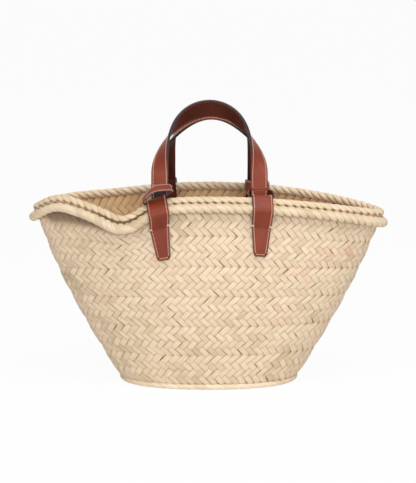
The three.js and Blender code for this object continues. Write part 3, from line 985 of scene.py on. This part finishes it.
# A sewing line across a path.
def cross_line(path, s, offs, lift):
    spots = np.full(len(offs), s)
    _, _, normal = path.frame(spots)
    return path.place(spots, offs, lift), normal


# The share round a closed curve where its front or rear half reaches x.
def place_at(x, side, curve):
    low, high = (0.5, 1.0) if side < 0 else (0.0, 0.5)
    for _ in range(40):
        middle = (low + high) / 2
        if (curve(middle)[0] > x) == (side < 0):
            high = middle
        else:
            low = middle
    return (low + high) / 2


# Frame of one handle fixing: centred on the bead, out of the basket, up.
class Leg:
    def __init__(self, name, side, x, lean, lie):
        self.name, self.side, self.lean = name, side, lean
        self.tab, self.strap = x, x - math.copysign(STRAP_INSET, x)
        self.bottom, self.ease, self.loop_at, self.droop, self.sway, self.level, self.reach = lie
        h = TAB_HALF_SHARE
        self.u = place_at(x, side, bead_centre)
        self.middle = bead_centre(self.u)
        self.across = unit((bead_centre(self.u + h) - bead_centre(self.u - h)) * -side)
        self.out = unit(np.array([-self.across[1], self.across[0], 0]) * side)
        self.up = unit(np.cross(self.across, self.out) * side)
        away = roll_centre(np.array([-h, 0, h]) + self.u) - self.middle
        self.roll_out = (away @ self.out).max()
        self.roll_up = (away @ self.up).max()
        self.roll_low = (away @ self.up).min()

    def put(self, out, up, x=0.0):
        return self.middle + self.out * out + self.up * up + self.across * x

    def facing(self, out, up):
        return self.out * out + self.up * up


# How a tab and its loop lie: tab end and ease over the roll, then the loop's tilt,
# droop, sway, levelling and reach.
FORWARD = (TAB_BOTTOM - LEFT_TAB_DROP, 0.45, -24, 0, 11, 0.2, 19.0)
LEANING = (TAB_BOTTOM, 0, 56, 28, 0, 0, 24)
THROWN = (TAB_BOTTOM, 0, -56, -40, 0, 0, 24)
LEGS = [
    Leg("front_left", -1, -57.0, 7.7, FORWARD),
    Leg("front_right", -1, 58.8, 2.4, LEANING),
    Leg("rear_left", 1, -50.2, 3, THROWN),
    Leg("rear_right", 1, 56.6, 3, LEANING),
]


# How far out from the bead's middle the inner run of a tab lies at a given rise.
def inner_run(rise, fold=FOLD_RADIUS):
    depth = min(max(-rise / INNER_RUN, 0), 1)
    low = WALL_THICK / 2 + GAP + TAB_THICK / 2 + INNER_SLACK
    return -(fold + (low - fold) * depth * depth)


# A tab from its inner end, over bead and roll, to its clipped tip on the wall.
def tab_path(leg):
    stations = []

    def put(out, up, facing, width=TAB_WIDTH):
        point = leg.put(out, up, -TAB_SLANT * leg.up[0] * up)
        stations.append((point, leg.across, leg.facing(*facing), width, TAB_LOOK))

    for i in range(10):
        rise = -INNER_RUN * (1 - i / 10)
        slope = inner_run(rise + 0.5, TAB_FOLD) - inner_run(rise - 0.5, TAB_FOLD)
        put(inner_run(rise, TAB_FOLD), rise, (-1, slope))
    over = ROLL_RADIUS + GAP + TAB_LOOK / 2 + leg.ease
    reach = math.hypot(leg.roll_out, leg.roll_up)
    leave = math.atan2(leg.roll_up, leg.roll_out) + math.acos((TAB_FOLD - over) / reach)
    for i in range(19):
        a = math.pi + (leave - math.pi) * i / 18
        put(TAB_FOLD * math.cos(a), TAB_FOLD * math.sin(a), (math.cos(a), math.sin(a)))
    for i in range(9):
        a = leave + (math.radians(TAB_LEAVES_ROLL) - leave) * i / 8
        rise = leg.roll_up + (leg.roll_low - leg.roll_up) * i / 8 + over * math.sin(a)
        put(leg.roll_out + over * math.cos(a), rise, (math.cos(a), math.sin(a)), TAB_WIDTH - 0.1 * i)
    tack = len(stations)
    lift = WALL_THICK / 2 + WALL_BULGE + GAP + TAB_LOOK / 2
    inward = -math.copysign(math.tan(math.radians(leg.lean)), leg.tab)
    steps = 14
    tips = []
    for i in range(steps + 1):
        share = i / steps
        width = TAB_NECK_WIDTH + (TAB_TIP_WIDTH - TAB_NECK_WIDTH) * share
        tips.append((TAB_ON_WALL + (leg.bottom - TAB_ON_WALL) * share, width))
    tips.append((leg.bottom - TAB_CLIP / WALL_RUN, TAB_END_WIDTH))
    for t, width in tips:
        x = leg.tab + inward * (1 - t) * WALL_RUN
        u = place_at(x, leg.side, lambda v: wall(t, v))
        point, along, up, out = wall_frame(t, u)
        across = along * -leg.side + up * inward
        stations.append((point + out * lift, across, out, width, TAB_LOOK))
    return Path(stations), tack


# Keeps a tab at its full width down to the bar tacks, where it steps in.
def smooth_notch(path, tack):
    s = path.at[tack]
    notch = s - NOTCH_ABOVE_TACK
    at = np.sort([*path.at, notch - 0.05, notch + 0.35])
    for key in ("point", "across", "normal", "width", "thick"):
        setattr(path, key, path.look(getattr(path, key), at))
    path.at = at
    upper = path.at < notch + 0.1
    path.width = np.where(upper, np.minimum(TAB_WIDTH, path.width + 0.6), path.width)
    after = (path.at >= notch + 0.1) & (path.at < s)
    path.width = np.where(after, NOTCH_WIDTH, path.width)
    return notch


def tab(leg):
    path, tack = tab_path(leg)
    notch = smooth_notch(path, tack)
    node = f"tab_{leg.name}"
    sweep(f"leather_{node}", path, tan, "basket", "tan_leather", [node], 0.55, step=0.9, rim=tab_edge)
    end = path.length - TIP_SEAM_INSET
    cross = np.linspace(-1, 1, 12) * (TAB_END_WIDTH / 2 - 0.9)
    lines = [*edge_lines(path, 6, end - 1.0, STITCH_INSET), cross_line(path, end, cross, 0.0)]
    stitches(f"thread_{node}", lines, "basket")
    reach = np.linspace(TAB_WIDTH / 2 - TACK_INSIDE, TAB_WIDTH / 2 + TACK_OUTSIDE, 6)
    tacks = [cross_line(path, notch, side * reach, 0.2) for side in (-1, 1)]
    stitches(f"bar_tack_{leg.name}", tacks, "basket", pitch=4, radius=0.85, fill=1.0, sink=0.5)


# The line that a handle turns on, as its y and z.
def pivot(side):
    pair = [leg for leg in LEGS if leg.side == side]
    inside = FOLD_RADIUS + TAB_THICK / 2 + GAP + STRAP_THICK / 2
    y = min(abs(leg.middle[1]) - inside for leg in pair)
    return side * y, max(leg.middle[2] for leg in pair) + PIVOT_RISE


# The handle's name and two points above and below its pivot, where the basket hands a strap over to the
# swinging handle.
def bend_at(side):
    y, z = pivot(side)
    ends = [((np.array([0, y, z + rise]) + SHIFT) / 1000).tolist() for rise in (-BEND_REACH, BEND_REACH)]
    return ("front_handle" if side < 0 else "rear_handle", *ends)


# The sewn lower end of a strap, flat on the inner run of its tab.
def strap_foot(leg):
    y, z = pivot(leg.side)
    gap = TAB_THICK / 2 + GAP + STRAP_THICK / 2
    shift = (leg.strap - leg.middle[0]) / leg.across[0]
    stations = []
    for i in range(9):
        rise = -INNER_RUN * (1 - i / 9)
        slope = inner_run(rise + 0.5) - inner_run(rise - 0.5)
        normal = unit(leg.facing(1, -slope))
        point = leg.put(inner_run(rise), rise, shift) - normal * gap
        stations.append((point, leg.across, normal, STRAP_WIDTH, STRAP_THICK))
    _, _, normal = arch(leg.side, -1)
    for rise in (-STRAP_THICK / 2, -STRAP_THICK / 4, 0):
        end = np.array([leg.strap, y, z + rise])
        stations.append((end, (1, 0, 0), normal, STRAP_WIDTH, STRAP_THICK))
    path = Path(stations)
    body = bend_at(leg.side)
    name = f"strap_foot_{leg.name}"
    foot = sweep(f"leather_{name}", path, tan, body, "tan_leather", [name], step=1, under=lining)
    paint_shade_under_loop(foot, leg.name == "front_left")
    stitches(f"thread_{name}", edge_lines(path, 2, path.length - 0.5, STITCH_INSET), body)


# Paints shade on the front left strap under its upright loop, where hardly any light reaches.
def paint_shade_under_loop(piece, darkened):
    low, high = (pivot(-1)[1] + rise for rise in SHADE_FADE)
    points = np.array([v.co for v in piece.data.vertices]) * 1000
    left = points[:, 0] < 0
    set_numbers(piece, "gloom", LOOP_SHADE * left * (1 - smooth(points[:, 2], low, high)) * darkened)


# Place, width direction and normal of a handle: its legs take the shares below 0
# and above 1, and its arch, which turns over towards the crown, those between.
def arch(side, share):
    a, b = [leg.strap for leg in LEGS if leg.side == side]
    y, z = pivot(side)
    half, middle = abs(b - a) / 2, (a + b) / 2
    top = CROWN_TOP - (REAR_CROWN_DROP if side > 0 else 0)
    tilt = math.atan2(side * CROWN_HALF_GAP - y, top - z)
    lift = np.array([0, math.sin(tilt), math.cos(tilt)])
    face = np.array([0, side * math.cos(tilt), -side * math.sin(tilt)])
    leg_run, arch_run = (LEG_TOP - z) / math.cos(tilt), (top - LEG_TOP) / math.cos(tilt)
    angle = math.pi * min(max(share, 0), 1)
    down = max(-share, share - 1, 0)
    rise = leg_run * (1 - down) + arch_run * math.sin(angle) * (down == 0)
    point = np.array([middle - half * math.cos(angle), y, z]) + lift * rise
    run = unit(np.array([half * math.sin(angle), 0, 0]) + lift * arch_run * math.cos(angle))
    inner = unit(np.cross(run, face) * -side)
    roll = math.radians(CROWN_TWIST) * power(math.sin(angle), CROWN_TWIST_POWER)
    across = inner * math.cos(roll) + face * math.sin(roll)
    return point, across, unit(np.cross(across, run) * -side)


# A whole handle: two plies back to back, sewn along both edges.
def handle(name, side):
    shares = [-1, -0.5, *np.linspace(0, 1, 121), 1.5, 2]
    bend = bend_at(side)
    ply = STRAP_THICK / 2 - PLY_APART
    for layer, way, material, slot, thread in (
        ("outer_ply", 1, tan, "tan_leather", cream_thread),
        ("lining", -1, lining, "strap_lining", dark_thread),
    ):
        stations = []
        for share in shares:
            point, across, normal = arch(side, share)
            middle = point + normal * way * (ply / 2 + PLY_APART)
            stations.append((middle, across, normal * way, STRAP_WIDTH, ply))
        path = Path(stations)
        node = f"{name}_handle_{layer}"
        piece = sweep(f"leather_{node}", path, material, bend, slot, [node], 0.5, step=1.3)
        paint_shade_under_loop(piece, side < 0)
        lines = edge_lines(path, 1.5, path.length - 1.5, STITCH_INSET)
        stitches(f"thread_{node}", lines, bend, sewn=thread)


# A keeper loop, standing out from the bead round tab and strap.
def keeper_loop(leg):
    under = BEAD_RADIUS + GAP / 2
    shoulder, bottom = LOOP_SHOULDER, under + LOOP_LOOK / 2 + LOOP_OFF_BEAD
    half = LOOP_HALF_WIDTH + LOOP_LOOK / 2 + LOOP_WIDER
    last = 40
    line = []
    for i in range(last + 1):
        a = math.pi * i / last
        rise = (leg.reach + LOOP_LOOK / 2 - shoulder) * power(math.sin(a), 0.8)
        line.append((half * power(math.cos(a), 0.6), shoulder + (rise if 0 < i < last else 0)))
    line += [(half * share, bottom) for share in np.linspace(-1, 1, 9)]
    line = np.array(line)

    def at(x, r, v):
        swing = leg.loop_at + leg.droop * (r - under) / (leg.reach - under)
        a = math.radians(swing + v * LOOP_SPAN / 2)
        high = max((r - shoulder) / (leg.reach - shoulder), 0)
        rise = r * math.cos(a) - leg.level * high * x
        return leg.put(-r * math.sin(a), rise, x - math.copysign(leg.sway * high**0.7, leg.tab))

    stations = []
    count = len(line)
    for k in range(count + 1):
        x, r = line[k % count]
        before, after = line[(k - 1) % count], line[(k + 1) % count]
        low, high = at(x, r, -1), at(x, r, 1)
        width = np.linalg.norm(high - low)
        way = at(*after, 0) - at(*before, 0)
        across = unit(high - low)
        stations.append((at(x, r, 0), across, np.cross(way, across), width, LOOP_LOOK))
    path = Path(stations)
    centre = path.point.mean(0)
    if ((path.point - centre) * path.normal).sum() < 0:
        path.normal = -path.normal
    name = f"loop_{leg.name}"
    sweep(f"leather_{name}", path, tan, name, "tan_leather", [f"keeper_{name}"], 0.5, True, 1.2, 4)
    stitches(f"thread_{name}", edge_lines(path, 5, path.at[last] - 5, LOOP_STITCH_INSET), name)


def aimed(name, data, place, target):
    thing = bpy.data.objects.new(name, data)
    thing.location = place
    thing.rotation_euler = (Vector(target) - Vector(place)).to_track_quat("-Z", "Y").to_euler()
    bpy.context.scene.collection.objects.link(thing)
    return thing


def look_from_photo():
    data = bpy.data.cameras.new("camera")
    data.lens = SENSOR * PHOTO_FOCAL / PHOTO_HEIGHT
    camera = aimed("camera", data, (-0.0007, -2.1034, 0.543), (-0.0007, -0.0034, 0.1586))
    bpy.context.scene.camera = camera


def lamp(name, place, size, watts, target=(0, 0, 0.12)):
    data = bpy.data.lights.new(name, "AREA")
    data.shape = "DISK"
    data.size = size
    data.energy = watts
    aimed(name, data, place, target)


# A shader that is white to the camera and in reflections, and plain to other rays.
def white_for_camera(nodes, plain, white):
    path = nodes.node("LightPath", {}, {})
    rays = {0: path.out("Is Camera Ray"), 1: path.out("Is Glossy Ray")}
    seen = nodes.node("Math", {"operation": "MAXIMUM"}, rays).out()
    return nodes.node("MixShader", {}, {0: seen, 1: plain, 2: white}).out()


def studio():
    world = bpy.data.worlds.new("studio")
    bpy.context.scene.world = world
    world.use_nodes = True
    world.node_tree.nodes.clear()
    sky = Nodes(world.node_tree)
    glows = []
    for strength in (0.4, 1.0):
        values = {"Color": (1, 1, 1, 1), "Strength": strength}
        glows.append(sky.node("Background", {}, values).out())
    sky.node("OutputWorld", {}, {"Surface": white_for_camera(sky, *glows)})
    lamp("key", (0.25, -2.3, 0.85), 1.3, 18.5)
    lamp("fill", (-1.3, -1.6, 0.9), 1.4, 4.5)
    lamp("top", (0.15, -0.6, 1.9), 1.0, 14)
    lamp("side", (0.45, -0.35, 0.75), 0.25, 1.0, (-0.11, 0.04, 0.2))


def floor():
    paint = Finish("floor_white", Base_Color=(0.86, 0.86, 0.86, 1), Roughness=0.9)
    plain = paint.shader.outputs[0]
    glow = paint.node("Emission", {}, {"Color": (1, 1, 1, 1)}).out()
    partly = paint.node("MixShader", {}, {0: 0.94, 1: plain, 2: glow}).out()
    surface = paint.tree.nodes["Material Output"].inputs["Surface"]
    paint.put(surface, white_for_camera(paint, plain, partly))
    bpy.ops.mesh.primitive_plane_add(size=60, location=(0, 0, 0))
    plane = bpy.context.object
    plane.name = "floor"
    plane.data.materials.append(paint.material)


bpy.context.scene.view_settings.view_transform = "Standard"
look_from_photo()
studio()
floor()
for k in range(COURSES):
    course(k)
base_mat()
top_bead()
rim_cover()
foot_rope()
for leg in LEGS:
    tab(leg)
    strap_foot(leg)
    keeper_loop(leg)
handle("front", -1)
handle("rear", 1)
